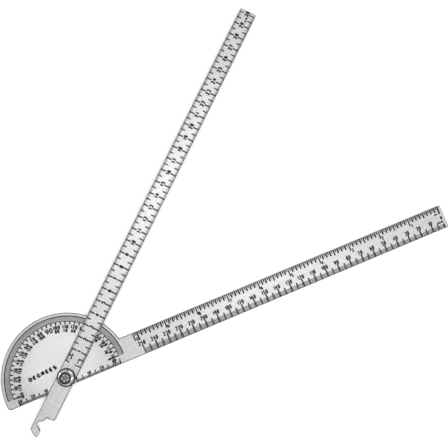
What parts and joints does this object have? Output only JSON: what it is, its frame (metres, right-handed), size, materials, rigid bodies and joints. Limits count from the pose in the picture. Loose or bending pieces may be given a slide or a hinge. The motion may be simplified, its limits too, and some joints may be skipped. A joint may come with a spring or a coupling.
{
  "type": "protractor",
  "caption": "Two-arm steel protractor: half-round head with a fixed rule, hooked swing blade on a lock-nut pivot, degree and length scales.",
  "frame": {"origin": "on the pivot axis, on the back face of the protractor blade", "axes": "+X along the fixed rule, +Y towards the crown of the half-round head, +Z out of the marked face"},
  "size_m": [0.3612, 0.2451, 0.0108],
  "materials": {
    "blade_steel": "satin stainless steel with a faint grain",
    "nut_steel": "bright plated steel",
    "stud_steel": "plain dull steel",
    "spring_steel": "black oxide",
    "glide_nylon": "natural nylon",
    "scale_ink": "black etched and filled marks",
    "insert_nylon": "black nylon"
  },
  "bodies": {
    "protractor": {"protractor_blade": "blade_steel", "pivot_stud": "stud_steel", "glide_washer": "glide_nylon", "disc_spring": "spring_steel", "plain_washer": "nut_steel", "lock_nut": "nut_steel", "nylon_insert": "insert_nylon"},
    "swing_arm": {"swing_blade": "blade_steel"}
  },
  "joints": [
    {"name": "arm_swing", "type": "hinge", "parent": "protractor", "child": "swing_arm", "pos_m": [0, 0, 0], "axis": [0, 0, 1], "continuous": true}
  ]
}
